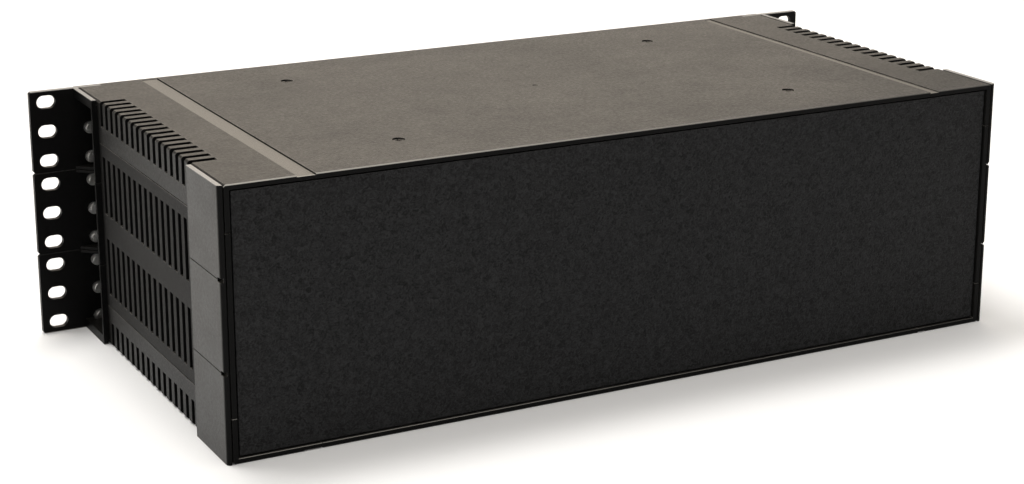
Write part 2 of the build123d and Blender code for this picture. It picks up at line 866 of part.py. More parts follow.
with BuildPart() as fuse_cap:
    cap_front_y = fuse_face_y - cap_gap - fuse_cap_height
    rod((fuse_x, cap_front_y, upper_row_z), fuse_cap_radius, fuse_cap_height, "Y")
    rod((fuse_x, fuse_face_y - cap_gap, upper_row_z), fuse_stem_radius, fuse_stem_length, "Y")
    with Locations((fuse_x, cap_front_y + driver_slot[2] / 2, upper_row_z)):
        Box(driver_slot[0], driver_slot[2], driver_slot[1], mode=Mode.SUBTRACT)
finish(fuse_cap, "fuse_cap")

# ---- level controls, sockets and latches, one set per channel ----

pot_radius = 12.0
pot_depth = 9.0
bushing_reach = 6.5
knob_radius = 13.0
knob_skirt_gap = 0.6
knob_chamfer = 1.2
spindle_radius = 3.0
knob_cavity_radius = 6.5
knob_cavity_depth = 7.0
pointer = (1.2, 9.0, 0.8)
grip_count = 24
grip_radius = 0.8
channel_names = ("left", "right")

for channel_name, x in zip(channel_names, input_x):
    with BuildPart() as level_control:
        rod((x, ear_front_y, upper_row_z), pot_radius, pot_depth, "Y")
        rod((x, panel_front_y - bushing_reach, upper_row_z), bushing_radius, bushing_reach + 4, "Y")
        rod(
            (x, panel_front_y - bushing_reach, upper_row_z),
            spindle_radius + running_gap,
            bushing_reach + front_panel_thickness + pot_depth - 1,
            "Y",
            Mode.SUBTRACT,
        )
    finish(level_control, f"{channel_name}_level_control")

    with BuildPart() as knob:
        knob_front_y = panel_front_y - knob_height
        knob_length = knob_height - knob_skirt_gap
        rod((x, knob_front_y, upper_row_z), knob_radius, knob_length, "Y")
        chamfer(knob.edges().group_by(Axis.Y)[0], knob_chamfer)
        with Locations(Location((x, knob_front_y + 3, upper_row_z), (-90, 0, 0))):
            with PolarLocations(knob_radius + grip_radius * 0.4, grip_count):
                Cylinder(
                    grip_radius,
                    knob_length,
                    align=(Align.CENTER, Align.CENTER, Align.MIN),
                    mode=Mode.SUBTRACT,
                )
        rod(
            (x, panel_front_y - knob_skirt_gap - knob_cavity_depth, upper_row_z),
            knob_cavity_radius,
            knob_cavity_depth,
            "Y",
            Mode.SUBTRACT,
        )
        spindle_start = knob_front_y + 2
        spindle_end = ear_front_y + pot_depth - 3
        rod((x, spindle_start, upper_row_z), spindle_radius, spindle_end - spindle_start, "Y")
        with Locations((x, knob_front_y + pointer[2] / 2, upper_row_z + knob_radius - pointer[1] / 2 - 1)):
            Box(pointer[0], pointer[2], pointer[1], mode=Mode.SUBTRACT)
    finish(knob, f"{channel_name}_level_knob")

socket_flange = (26.0, 31.0)
socket_flange_thickness = 2.2
socket_corner = 3.0
socket_body_radius = 11.7
socket_depth = 24.0
socket_ring_radius = 9.8
socket_core_radius = 8.2
socket_ring_depth = 14.0
contact_hole_radius = 1.4
contact_circle = 4.8
contact_hole_depth = 12.0
socket_screw_offset = (9.5, 12.0)
latch_size = (8.0, 3.0)
latch_proud = 3.0
socket_front_y = panel_front_y - socket_flange_thickness
latch_pocket_end_y = ear_front_y + 1.0


def socket_screw_points(x):
    """The two fixing points of one round socket, as X and Z."""
    dx, dz = socket_screw_offset
    return [(x - dx, lower_row_z + dz), (x + dx, lower_row_z - dz)]


def socket_flange_plate(x):
    """The square front flange of a round socket, with its two fixing holes."""
    with BuildSketch(Plane.XZ.offset(-socket_front_y)) as outline:
        with Locations((x, lower_row_z)):
            RectangleRounded(*socket_flange, socket_corner)
        with Locations(*socket_screw_points(x)):
            Circle(flange_hole_radius, mode=Mode.SUBTRACT)
    extrude(outline.sketch, amount=-socket_flange_thickness)


for channel_name, x in zip(channel_names, input_x):
    with BuildPart() as input_socket:
        socket_flange_plate(x)
        rod((x, panel_front_y, lower_row_z), socket_body_radius, socket_depth, "Y")
        rod((x, socket_front_y, lower_row_z), socket_ring_radius, socket_ring_depth, "Y", Mode.SUBTRACT)
        bar(
            (x - latch_pocket[0] / 2, socket_front_y - 1, lower_row_z + latch_rise - latch_pocket[1] / 2),
            (x + latch_pocket[0] / 2, latch_pocket_end_y, lower_row_z + latch_rise + latch_pocket[1] / 2),
            mode=Mode.SUBTRACT,
        )
    finish(input_socket, f"{channel_name}_input_socket")

    with BuildPart() as latch_tab:
        latch_low_z = lower_row_z + latch_rise - latch_size[1] / 2
        bar(
            (x - latch_size[0] / 2, socket_front_y - latch_proud, latch_low_z),
            (x + latch_size[0] / 2, panel_front_y - 0.5, latch_low_z + latch_size[1]),
        )
        chamfer(latch_tab.edges().group_by(Axis.Y)[0], 0.5)
    finish(latch_tab, f"{channel_name}_latch_tab")

# The moulded cores that hold the contacts, one at the bottom of each input socket.
with BuildPart() as input_cores:
    for x in input_x:
        rod((x, socket_front_y, lower_row_z), socket_core_radius, socket_ring_depth, "Y")
        with Locations(Location((x, socket_front_y, lower_row_z), (-90, 0, 0))):
            with PolarLocations(contact_circle, 3, start_angle=90):
                Cylinder(
                    contact_hole_radius,
                    contact_hole_depth,
                    align=(Align.CENTER, Align.CENTER, Align.MIN),
                    mode=Mode.SUBTRACT,
                )
finish(input_cores, "input_cores")

speaker_ring_radius = 11.0
speaker_core_radius = 7.4
speaker_ring_depth = 15.0
speaker_key = (3.0, 2.0)

for channel_name, x in zip(channel_names, speaker_x):
    with BuildPart() as speaker_socket:
        socket_flange_plate(x)
        rod((x, panel_front_y, lower_row_z), socket_body_radius, socket_depth, "Y")
        rod((x, socket_front_y, lower_row_z), speaker_ring_radius, speaker_ring_depth, "Y", Mode.SUBTRACT)
        rod((x, socket_front_y + 1, lower_row_z), speaker_core_radius, speaker_ring_depth - 1, "Y")
        for side in (-1, 1):
            key_mid_z = lower_row_z + side * (speaker_ring_radius - speaker_key[1] / 2 + 0.2)
            with Locations((x, socket_front_y + speaker_ring_depth / 2 + 1, key_mid_z)):
                Box(speaker_key[0], speaker_ring_depth - 2, speaker_key[1])
    finish(speaker_socket, f"{channel_name}_speaker_socket")

# ---- flange screws and indicator lenses ----

flange_head_radius = 2.6
flange_head_height = 1.4
flange_screw_length = 2.2

with BuildPart() as connector_screws:
    places = [(x, z, socket_front_y) for c in (*input_x, *speaker_x) for x, z in socket_screw_points(c)]
    inlet_front_y = panel_front_y - inlet_flange_thickness
    places += [(inlet_x + side * inlet_screw_x, lower_row_z, inlet_front_y) for side in (-1, 1)]
    for x, z, face_y in places:
        rod((x, face_y - flange_head_height, z), flange_head_radius, flange_head_height, "Y")
        rod((x, face_y, z), flange_screw_radius, flange_screw_length, "Y")
        with Locations((x, face_y - flange_head_height + cross_depth / 2, z)):
            Box(cross_length, cross_depth, cross_width, mode=Mode.SUBTRACT)
            Box(cross_width, cross_depth, cross_length, mode=Mode.SUBTRACT)
finish(connector_screws, "connector_screws")

lens_reach = 2.0
lens_depth = 6.0

with BuildPart() as indicator_lenses:
    for x in indicator_x:
        rod((x, panel_front_y - lens_reach, upper_row_z), lens_radius, lens_depth, "Y")
    fillet(indicator_lenses.edges().group_by(Axis.Y)[0], 1.5)
finish(indicator_lenses, "indicator_lenses")
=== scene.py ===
import json
from math import atan2, cos, pi, radians, sin, tan

import bmesh
import bpy
from mathutils import Matrix, Vector


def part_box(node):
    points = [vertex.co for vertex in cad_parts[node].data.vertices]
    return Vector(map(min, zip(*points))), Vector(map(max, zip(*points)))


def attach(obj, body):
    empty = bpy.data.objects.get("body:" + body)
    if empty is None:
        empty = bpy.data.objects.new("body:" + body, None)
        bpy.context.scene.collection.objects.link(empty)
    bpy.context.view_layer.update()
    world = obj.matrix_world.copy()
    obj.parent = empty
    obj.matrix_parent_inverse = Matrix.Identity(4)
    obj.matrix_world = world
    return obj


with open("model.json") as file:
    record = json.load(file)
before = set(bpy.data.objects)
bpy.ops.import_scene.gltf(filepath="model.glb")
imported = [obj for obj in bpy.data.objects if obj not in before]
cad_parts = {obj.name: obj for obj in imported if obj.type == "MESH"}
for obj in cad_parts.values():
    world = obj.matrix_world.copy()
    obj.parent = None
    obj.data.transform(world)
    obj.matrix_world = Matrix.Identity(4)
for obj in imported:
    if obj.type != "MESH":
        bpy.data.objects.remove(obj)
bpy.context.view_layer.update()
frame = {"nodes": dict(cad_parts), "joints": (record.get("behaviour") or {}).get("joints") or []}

mm = 0.001


# ---- Studio ----
# The amplifier stands directly on a pale, seamless floor and is seen from behind and above,
# with its right-hand vents towards the lens. Large soft lights stand above it and beyond it.

view_azimuth = radians(152.3)
view_elevation = radians(15.7)
lens_place = Vector((0.5277, 0.9885, 0.3868))
lens_length = 75.9
lens_rise = -0.049
floor_reach = 11.0

camera_data = bpy.data.cameras.new("studio_camera")
camera_data.lens = lens_length
camera_data.shift_y = lens_rise
camera_data.clip_end = 60.0
camera = bpy.data.objects.new("studio_camera", camera_data)
bpy.context.scene.collection.objects.link(camera)
camera_back = Vector((
    sin(view_azimuth) * cos(view_elevation),
    -cos(view_azimuth) * cos(view_elevation),
    sin(view_elevation),
))
camera.location = lens_place
camera.rotation_mode = "QUATERNION"
camera.rotation_quaternion = (-camera_back).to_track_quat("-Z", "Y")
bpy.context.scene.camera = camera
bpy.context.scene.view_settings.view_transform = "Standard"


def new_piece(name, mesh_builder, material=None):
    """Makes a mesh object from a finished bmesh and gives it a material."""
    mesh = bpy.data.meshes.new(name)
    mesh_builder.to_mesh(mesh)
    mesh_builder.free()
    piece = bpy.data.objects.new(name, mesh)
    bpy.context.scene.collection.objects.link(piece)
    if material:
        mesh.materials.append(material)
    return piece


def start_material(name, roughness, metallic=0.0, specular=0.5):
    """A new Principled material with its plain numbers set on the shader itself."""
    material = bpy.data.materials.new(name)
    material.use_nodes = True
    tree = material.node_tree
    shader = tree.nodes["Principled BSDF"]
    shader.inputs["Roughness"].default_value = roughness
    shader.inputs["Metallic"].default_value = metallic
    shader.inputs["Specular IOR Level"].default_value = specular
    return material, tree, shader


def add_node(tree, kind, **values):
    """Adds a node and sets its inputs by name, with underscores for spaces."""
    node = tree.nodes.new(kind)
    for key, value in values.items():
        node.inputs[key.replace("_", " ")].default_value = value
    return node


def blend_colours(tree, factor, low, high):
    """A colour mix of two plain colours or sockets, by a mask."""
    mix = tree.nodes.new("ShaderNodeMix")
    mix.data_type = "RGBA"
    tree.links.new(factor, mix.inputs[0])
    for index, colour in ((6, low), (7, high)):
        if isinstance(colour, bpy.types.NodeSocket):
            tree.links.new(colour, mix.inputs[index])
        else:
            mix.inputs[index].default_value = (*colour, 1.0)
    return mix.outputs[2]


def spread(tree, value, low, high, from_low=0.0, from_high=1.0):
    """Maps a value onto the range from low to high."""
    node = add_node(
        tree, "ShaderNodeMapRange", From_Min=from_low, From_Max=from_high, To_Min=low, To_Max=high
    )
    tree.links.new(value, node.inputs["Value"])
    return node.outputs["Result"]


floor_build = bmesh.new()
bmesh.ops.create_grid(floor_build, x_segments=8, y_segments=8, size=floor_reach)
floor_material, floor_tree, floor_shader = start_material("studio_floor_paper", 0.9, specular=0.1)
paper_noise = add_node(floor_tree, "ShaderNodeTexNoise", Scale=3.0, Detail=2.0)
paper_colour = blend_colours(
    floor_tree, paper_noise.outputs["Fac"], (0.92, 0.935, 0.95), (0.94, 0.955, 0.97)
)
floor_tree.links.new(paper_colour, floor_shader.inputs["Base Color"])
floor = new_piece("studio_floor", floor_build, floor_material)
floor.location.z = -0.1 * mm


def soft_light(name, place, aim, size, power, colour):
    """A large square softbox that points at a spot on the object."""
    data = bpy.data.lights.new(name, "AREA")
    data.shape = "RECTANGLE"
    data.size, data.size_y = size
    data.energy = power
    data.color = colour
    light = bpy.data.objects.new(name, data)
    bpy.context.scene.collection.objects.link(light)
    light.location = place
    light.rotation_mode = "QUATERNION"
    light.rotation_quaternion = (Vector(aim) - Vector(place)).to_track_quat("-Z", "Y")


warm_white = (1.0, 0.86, 0.70)
soft_light("far_softbox", (-0.6, -2.2, 1.3), (0.0, 0.0, 0.1), (2.6, 1.0), 20.0, warm_white)
soft_light("overhead_softbox", (0.3, -0.4, 1.9), (0.0, 0.1, 0.1), (0.9, 0.35), 22.0, (1.0, 0.97, 0.93))
soft_light("fill_softbox", (0.8, 2.6, 2.4), (0.0, 0.3, 0.0), (2.6, 1.6), 26.0, (1.0, 0.97, 0.94))

zenith_light, horizon_light = 1.05, 0.30
world = bpy.data.worlds.new("studio_air")
world.use_nodes = True
bpy.context.scene.world = world
air = world.node_tree
seen_air = add_node(air, "ShaderNodeBackground", Color=(1.0, 1.0, 1.0, 1.0), Strength=1.0)
lit_air = air.nodes["Background"]
lit_air.inputs["Color"].default_value = (1.0, 0.95, 0.89, 1.0)
air_height = air.nodes.new("ShaderNodeSeparateXYZ")
air.links.new(air.nodes.new("ShaderNodeTexCoord").outputs["Generated"], air_height.inputs[0])
air_strength = spread(air, air_height.outputs["Z"], horizon_light, zenith_light, 0.35, 0.95)
air.links.new(air_strength, lit_air.inputs["Strength"])
air_rays = air.nodes.new("ShaderNodeLightPath")
air_mix = air.nodes.new("ShaderNodeMixShader")
air.links.new(air_rays.outputs["Is Camera Ray"], air_mix.inputs["Fac"])
air.links.new(lit_air.outputs["Background"], air_mix.inputs[1])
air.links.new(seen_air.outputs["Background"], air_mix.inputs[2])
air.links.new(air_mix.outputs["Shader"], air.nodes["World Output"].inputs["Surface"])


# ---- Top and bottom plates ----
# Two flat injection-moulded ABS covers, alike and turned over. Each has a spark-eroded texture,
# a gate mark at its middle and four recesses for the screws that hold it to the pillars.


def start_group(name, inputs, outputs):
    """An empty shader node group with number inputs and outputs."""
    group = bpy.data.node_groups.new(name, "ShaderNodeTree")
    for socket_name, default in inputs:
        socket = group.interface.new_socket(
            socket_name, in_out="INPUT", socket_type="NodeSocketFloat"
        )
        socket.default_value = default
    for socket_name in outputs:
        group.interface.new_socket(socket_name, in_out="OUTPUT", socket_type="NodeSocketFloat")
    return group, group.nodes.new("NodeGroupInput"), group.nodes.new("NodeGroupOutput")


def calculate(tree, operation, first, second):
    """One arithmetic step on sockets or plain numbers."""
    node = tree.nodes.new("ShaderNodeMath")
    node.operation = operation
    for socket, value in zip(node.inputs, (first, second)):
        if isinstance(value, bpy.types.NodeSocket):
            tree.links.new(value, socket)
        else:
            socket.default_value = value
    return node.outputs["Value"]


def make_moulded_grain():
    """The pits of a spark-eroded mould, and the slow drift of tone across a moulding."""
    group, given, result = start_group(
        "moulded_grain", [("Pits per Metre", 1500.0), ("Drift per Metre", 14.0)], ["Height", "Tone"]
    )
    place = group.nodes.new("ShaderNodeTexCoord").outputs["Object"]
    pits = add_node(group, "ShaderNodeTexNoise", Detail=3.0, Roughness=0.6)
    group.links.new(place, pits.inputs["Vector"])
    group.links.new(given.outputs["Pits per Metre"], pits.inputs["Scale"])
    cells = group.nodes.new("ShaderNodeTexVoronoi")
    group.links.new(place, cells.inputs["Vector"])
    group.links.new(given.outputs["Pits per Metre"], cells.inputs["Scale"])
    cell_part = calculate(group, "MULTIPLY", cells.outputs["Distance"], 0.45)
    height = calculate(group, "ADD", pits.outputs["Fac"], cell_part)
    group.links.new(height, result.inputs["Height"])
    drift = add_node(group, "ShaderNodeTexNoise", Detail=5.0, Roughness=0.55)
    group.links.new(place, drift.inputs["Vector"])
    group.links.new(given.outputs["Drift per Metre"], drift.inputs["Scale"])
    speckle = add_node(group, "ShaderNodeTexNoise", Scale=620.0, Detail=2.0, Roughness=0.6)
    group.links.new(place, speckle.inputs["Vector"])
    speckle_part = spread(group, speckle.outputs["Fac"], -0.35, 0.35, 0.3, 0.7)
    drift_part = spread(group, drift.outputs["Fac"], 0.3, 0.7, 0.3, 0.7)
    tone = calculate(group, "ADD", drift_part, speckle_part)
    group.links.new(tone, result.inputs["Tone"])
    return group


def make_settled_dust():
    """A thin film of dust on faces that look up, thicker in patches."""
    group, given, result = start_group("settled_dust", [("Amount", 0.3)], ["Mask"])
    facing = group.nodes.new("ShaderNodeSeparateXYZ")
    group.links.new(group.nodes.new("ShaderNodeNewGeometry").outputs["Normal"], facing.inputs[0])
    upward = spread(group, facing.outputs["Z"], 0.0, 1.0, 0.7, 1.0)
    patches = add_node(group, "ShaderNodeTexNoise", Scale=75.0, Detail=9.0, Roughness=0.82)
    place = group.nodes.new("ShaderNodeTexCoord").outputs["Object"]
    group.links.new(place, patches.inputs["Vector"])
    patch = spread(group, patches.outputs["Fac"], 0.0, 1.0, 0.35, 0.75)
    film = calculate(group, "MULTIPLY", upward, patch)
    mask = calculate(group, "MULTIPLY", film, given.outputs["Amount"])
    group.links.new(mask, result.inputs["Mask"])
    return group


def make_worn_edges():
    """Where handling has rubbed the upper edges of a piece paler, with a painted highlight on the same
    edges: partly real wear, partly painted light caught by the rounded edges.
    """
    group, given, result = start_group("worn_and_highlit_edges", [("Width", 0.0008)], ["Mask"])
    rounded = group.nodes.new("ShaderNodeBevel")
    rounded.samples = 4
    group.links.new(given.outputs["Width"], rounded.inputs["Radius"])
    turn = group.nodes.new("ShaderNodeVectorMath")
    turn.operation = "DOT_PRODUCT"
    group.links.new(rounded.outputs["Normal"], turn.inputs[0])
    group.links.new(group.nodes.new("ShaderNodeNewGeometry").outputs["Normal"], turn.inputs[1])
    edge = spread(group, turn.outputs["Value"], 1.0, 0.0, 0.8, 0.995)
    rubs = add_node(group, "ShaderNodeTexNoise", Scale=130.0, Detail=5.0)
    place = group.nodes.new("ShaderNodeTexCoord").outputs["Object"]
    group.links.new(place, rubs.inputs["Vector"])
    rub = spread(group, rubs.outputs["Fac"], 0.35, 1.0, 0.35, 0.6)
    slope = group.nodes.new("ShaderNodeSeparateXYZ")
    group.links.new(rounded.outputs["Normal"], slope.inputs[0])
    upward = spread(group, slope.outputs["Z"], 0.0, 1.0, 0.2, 0.6)
    upper_edge = calculate(group, "MULTIPLY", edge, upward)
    group.links.new(calculate(group, "MULTIPLY", upper_edge, rub), result.inputs["Mask"])
    return group


moulded_grain = make_moulded_grain()
settled_dust = make_settled_dust()
worn_and_highlit_edges = make_worn_edges()


def use_group(tree, group, **values):
    """Places an effect in a material with its own values."""
    node = tree.nodes.new("ShaderNodeGroup")
    node.node_tree = group
    for key, value in values.items():
        node.inputs[key.replace("_", " ")].default_value = value
    return node


def raise_surface(tree, shader, height, depth, strength=1.0):
    """Feeds a height in metres to the shader's normal."""
    bump = add_node(tree, "ShaderNodeBump", Distance=depth, Strength=strength)
    tree.links.new(height, bump.inputs["Height"])
    tree.links.new(bump.outputs["Normal"], shader.inputs["Normal"])


def moulded_plastic(
    name, dark, light, gloss_low, gloss_high, pits=1500.0, pit_depth=0.0001, dust=0.25,
    specular=0.5, rubbed_and_highlight_tone=0.22, rubbed_and_highlight_width=0.0008, drift=14.0,
):
    """Black moulded plastic: grain, tone that drifts, rubbed edges with a painted highlight, and a
    little dust.
    """
    material, tree, shader = start_material(name, gloss_low, specular=specular)
    grain = use_group(tree, moulded_grain, Pits_per_Metre=pits, Drift_per_Metre=drift)
    film = use_group(tree, settled_dust, Amount=dust)
    edges = use_group(tree, worn_and_highlit_edges, Width=rubbed_and_highlight_width)
    body = blend_colours(tree, grain.outputs["Tone"], dark, light)
    # Pale upper edges: partly real rubbed wear, partly a painted highlight where the rounded edges
    # catch the light.
    worn_and_highlight_colour = (rubbed_and_highlight_tone, rubbed_and_highlight_tone * 0.96, rubbed_and_highlight_tone * 0.88)
    rubbed_and_highlit = blend_colours(tree, edges.outputs["Mask"], body, worn_and_highlight_colour)
    dusty = blend_colours(tree, film.outputs["Mask"], rubbed_and_highlit, (0.16, 0.15, 0.135))
    tree.links.new(dusty, shader.inputs["Base Color"])
    gloss = spread(tree, grain.outputs["Tone"], gloss_low, gloss_high)
    polish = spread(tree, edges.outputs["Mask"], 1.0, 0.5)
    tree.links.new(calculate(tree, "MULTIPLY", gloss, polish), shader.inputs["Roughness"])
    raise_surface(tree, shader, grain.outputs["Height"], pit_depth)
    return material


def overlay(material, mask, colour, roughness):
    """Lays another finish over part of a material, by a mask."""
    tree = material.node_tree
    shader = tree.nodes["Principled BSDF"]
    under = shader.inputs["Base Color"].links[0].from_socket
    tree.links.new(blend_colours(tree, mask, under, colour), shader.inputs["Base Color"])
    under = shader.inputs["Roughness"].links[0].from_socket
    change = calculate(tree, "MULTIPLY", mask, calculate(tree, "SUBTRACT", roughness, under))
    tree.links.new(calculate(tree, "ADD", under, change), shader.inputs["Roughness"])


# Painted shade for the rear-facing ends of the mouldings: near black, and made a dark metal that also
# takes away their reflection.
rear_shade_colour = (0.010, 0.010, 0.010)
rear_shade_gloss = 0.6


def dull_rear_ends(material, turned_from=0.8, turned_to=0.95):
    """Painted shade: the ends of the mouldings that face the rear are painted deep black and matt,
    standing in for the shade on that side.
    """
    tree = material.node_tree
    facing = tree.nodes.new("ShaderNodeSeparateXYZ")
    tree.links.new(tree.nodes.new("ShaderNodeNewGeometry").outputs["Normal"], facing.inputs[0])
    rear_shade_mask = spread(tree, facing.outputs["Y"], 0.0, 1.0, turned_from, turned_to)
    overlay(material, rear_shade_mask, rear_shade_colour, rear_shade_gloss)
    tree.links.new(rear_shade_mask, tree.nodes["Principled BSDF"].inputs["Metallic"])


# Painted highlight along the upper rear edge of the covers and rails, standing in for light caught by
# the rounded edge. It is strongest towards +X.
rear_highlight_colour = (0.42, 0.41, 0.38)
rear_highlight_gloss = 0.3
edge_reach = 0.9 * mm
edge_fade = 0.6
highlight_left, highlight_right = 0.12, 0.75
highlight_left_x, highlight_right_x = -150.0 * mm, 210.0 * mm


def brighten_rear_edge(material):
    """A painted highlight: a pale line along the upper rear edge, stronger towards the +X side."""
    tree = material.node_tree
    place = tree.nodes.new("ShaderNodeSeparateXYZ")
    tree.links.new(tree.nodes.new("ShaderNodeTexCoord").outputs["Object"], place.inputs[0])
    facing = tree.nodes.new("ShaderNodeSeparateXYZ")
    tree.links.new(tree.nodes.new("ShaderNodeNewGeometry").outputs["Normal"], facing.inputs[0])
    rear_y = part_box("top_plate")[1].y
    edge_start, edge_full = rear_y - edge_reach, rear_y - edge_reach * edge_fade
    near_edge = spread(tree, place.outputs["Y"], 0.0, 1.0, edge_start, edge_full)
    upward = spread(tree, facing.outputs["Z"], 0.0, 1.0, 0.5, 0.7)
    highlight_strength = spread(tree, place.outputs["X"], highlight_left, highlight_right, highlight_left_x, highlight_right_x)
    overlay(
        material, calculate(tree, "MULTIPLY", calculate(tree, "MULTIPLY", near_edge, upward), highlight_strength),
        rear_highlight_colour, rear_highlight_gloss,
    )


def finish_nodes(material, *names):
    """Gives CAD nodes their finished material."""
    for name in names:
        node = frame["nodes"][name]
        if not node.material_slots:
            node.data.materials.append(material)
        for slot in node.material_slots:
            slot.material = material


corner_join = 0.002 * mm
flat_angle, sharp_angle = radians(0.3), radians(40)


def ease_edges(width, *names):
    """Breaks the sharp edges of CAD nodes, as a mould or a deburring tool leaves them."""
    for name in names:
        node = frame["nodes"][name]
        weld = node.modifiers.new("join_corners", "WELD")
        weld.merge_threshold = corner_join
        joining = node.modifiers.new("join_flats", "DECIMATE")
        joining.decimate_type = "DISSOLVE"
        joining.angle_limit = flat_angle
        bevel = node.modifiers.new("ease_edges", "BEVEL")
        bevel.width = width
        bevel.segments = 3
        bevel.limit_method = "ANGLE"
        bevel.angle_limit = sharp_angle
        shading = node.modifiers.new("even_shading", "WEIGHTED_NORMAL")
        shading.keep_sharp = True


cover_plastic = moulded_plastic(
    "cover_plastic", (0.001, 0.001, 0.0009), (0.019, 0.0183, 0.0172), 0.33, 0.57, specular=0.2
)
dull_rear_ends(cover_plastic)
brighten_rear_edge(cover_plastic)
finish_nodes(cover_plastic, "top_plate", "bottom_plate")
ease_edges(0.35 * mm, "top_plate", "bottom_plate")


# ---- Corner rails and side panels ----
# Long L-shaped mouldings carry the centre plates on a sunken ledge and wrap comb vents over the
# edge. Between them each side has a two-unit panel with two rows of slots. All are textured ABS.

sides = ("left", "right")
rail_names = [f"{side}_{level}_rail" for side in sides for level in ("upper", "lower")]
side_panel_names = [f"{side}_side_panel" for side in sides]

rail_plastic = moulded_plastic(
    "rail_plastic", (0.001, 0.001, 0.0009), (0.017, 0.0163, 0.0153), 0.34, 0.54, specular=0.17
)
strip_outer = 180.0 * mm
strip_depth = 0.7 * mm
# Painted sheen on the sunken strips: the paler colour stands in for the light they catch. Their lower
# roughness is real.
strip_sheen_colour = (0.105, 0.099, 0.088)
strip_gloss = 0.3
strip_tolerance = 0.2 * mm
covers_low, covers_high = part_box("bottom_plate")[0].z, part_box("top_plate")[1].z
middle_z = (covers_low + covers_high) / 2
half_height = (covers_high - covers_low) / 2


def height_from_middle(tree):
    """How far a point is above or below the middle of the enclosure, and its X."""
    place = tree.nodes.new("ShaderNodeSeparateXYZ")
    tree.links.new(tree.nodes.new("ShaderNodeTexCoord").outputs["Object"], place.inputs[0])
    rise = calculate(tree, "SUBTRACT", place.outputs["Z"], middle_z)
    return calculate(tree, "ABSOLUTE", rise, 0), place.outputs["X"]


def polish_sunken_strips(material):
    """The sunken strip beside each centre plate is smoother than the rest, and painted paler as a
    painted sheen.
    """
    tree = material.node_tree
    from_middle, place_x = height_from_middle(tree)
    sunk = calculate(tree, "COMPARE", from_middle, half_height - strip_depth)
    sunk.node.inputs[2].default_value = strip_tolerance
    inside = calculate(tree, "LESS_THAN", calculate(tree, "ABSOLUTE", place_x, 0), strip_outer)
    overlay(material, calculate(tree, "MULTIPLY", sunk, inside), strip_sheen_colour, strip_gloss)


polish_sunken_strips(rail_plastic)
dull_rear_ends(rail_plastic)
brighten_rear_edge(rail_plastic)
finish_nodes(rail_plastic, *rail_names)
ease_edges(0.25 * mm, *rail_names)

side_plastic = moulded_plastic(
    "side_plastic", (0.003, 0.003, 0.0028), (0.010, 0.0097, 0.0092), 0.50, 0.62, specular=0.13,
)
dull_rear_ends(side_plastic)
finish_nodes(side_plastic, *side_panel_names)
ease_edges(0.25 * mm, *side_panel_names)


# ---- Rack ears and rear caps ----
# Six one-unit ears with a stiffening box behind each, and six one-unit caps that close the rear
# corners. They are the same ABS with a smoother, slightly glossier face, screwed on and clipped on.

units = ("lower", "middle", "upper")
ear_names = [f"{side}_{unit}_ear" for side in sides for unit in units]
cap_names = [f"{side}_{unit}_cap" for side in sides for unit in units]

ear_plastic = moulded_plastic(
    "ear_plastic", (0.0015, 0.0015, 0.0015), (0.003, 0.003, 0.003), 0.38, 0.46, pits=1900.0,
    pit_depth=0.00004, dust=0.1, specular=0.08, rubbed_and_highlight_tone=0.02,
)
# Painted glint on the flat upper lips of the ears and caps: the pale colour stands in for the light
# they catch. Their lower roughness is real.
lip_glint_colour = (0.25, 0.245, 0.235)
lip_gloss = 0.3
lip_depth = 0.3 * mm


def brighten_upper_lip(material):
    """The flat narrow lips that lie flush with the covers are smoother, and painted paler as a painted
    glint.
    """
    tree = material.node_tree
    from_middle = height_from_middle(tree)[0]
    lip = calculate(tree, "GREATER_THAN", from_middle, half_height - lip_depth)
    overlay(material, lip, lip_glint_colour, lip_gloss)


brighten_upper_lip(ear_plastic)
finish_nodes(ear_plastic, *ear_names)
ease_edges(0.5 * mm, *ear_names)

cap_plastic = moulded_plastic(
    "cap_plastic", (0.002, 0.0017, 0.0014), (0.019, 0.0172, 0.0145), 0.28, 0.46, pits=1900.0,
    pit_depth=0.00004, dust=0.15, specular=0.27, rubbed_and_highlight_tone=0.1, drift=55.0,
)
brighten_upper_lip(cap_plastic)
dull_rear_ends(cap_plastic, 0.35, 0.55)
finish_nodes(cap_plastic, *cap_names)
ease_edges(0.5 * mm, *cap_names)


# ---- Rear and front panels ----
# The rear is one blank sheet held in the mouldings. The front is a flat aluminium plate with the
# controls. Both are sprayed with a fine black texture paint.


def texture_paint(name, dark, light, roughness, cells, depth, specular):
    """Sprayed texture paint: small wandering wrinkles in black."""
    material, tree, shader = start_material(name, roughness, specular=specular)
    grain = use_group(tree, moulded_grain, Pits_per_Metre=cells)
    edges = use_group(tree, worn_and_highlit_edges, Width=0.0006)
    place = tree.nodes.new("ShaderNodeTexCoord").outputs["Object"]
    wrinkles = add_node(tree, "ShaderNodeTexNoise", Scale=cells * 0.55, Detail=4.0, Distortion=1.6)
    tree.links.new(place, wrinkles.inputs["Vector"])
    relief = calculate(tree, "ADD", wrinkles.outputs["Fac"], grain.outputs["Height"])
    fleck = spread(tree, wrinkles.outputs["Fac"], 0.0, 1.0, 0.35, 0.65)
    body = blend_colours(tree, fleck, dark, light)
    # Pale upper edges: partly real rubbed wear, partly a painted highlight.
    rubbed_and_highlit = blend_colours(tree, edges.outputs["Mask"], body, (0.10, 0.10, 0.10))
    tree.links.new(rubbed_and_highlit, shader.inputs["Base Color"])
    tree.links.new(
        spread(tree, grain.outputs["Tone"], roughness - 0.05, roughness + 0.08),
        shader.inputs["Roughness"],
    )
    raise_surface(tree, shader, relief, depth)
    return material


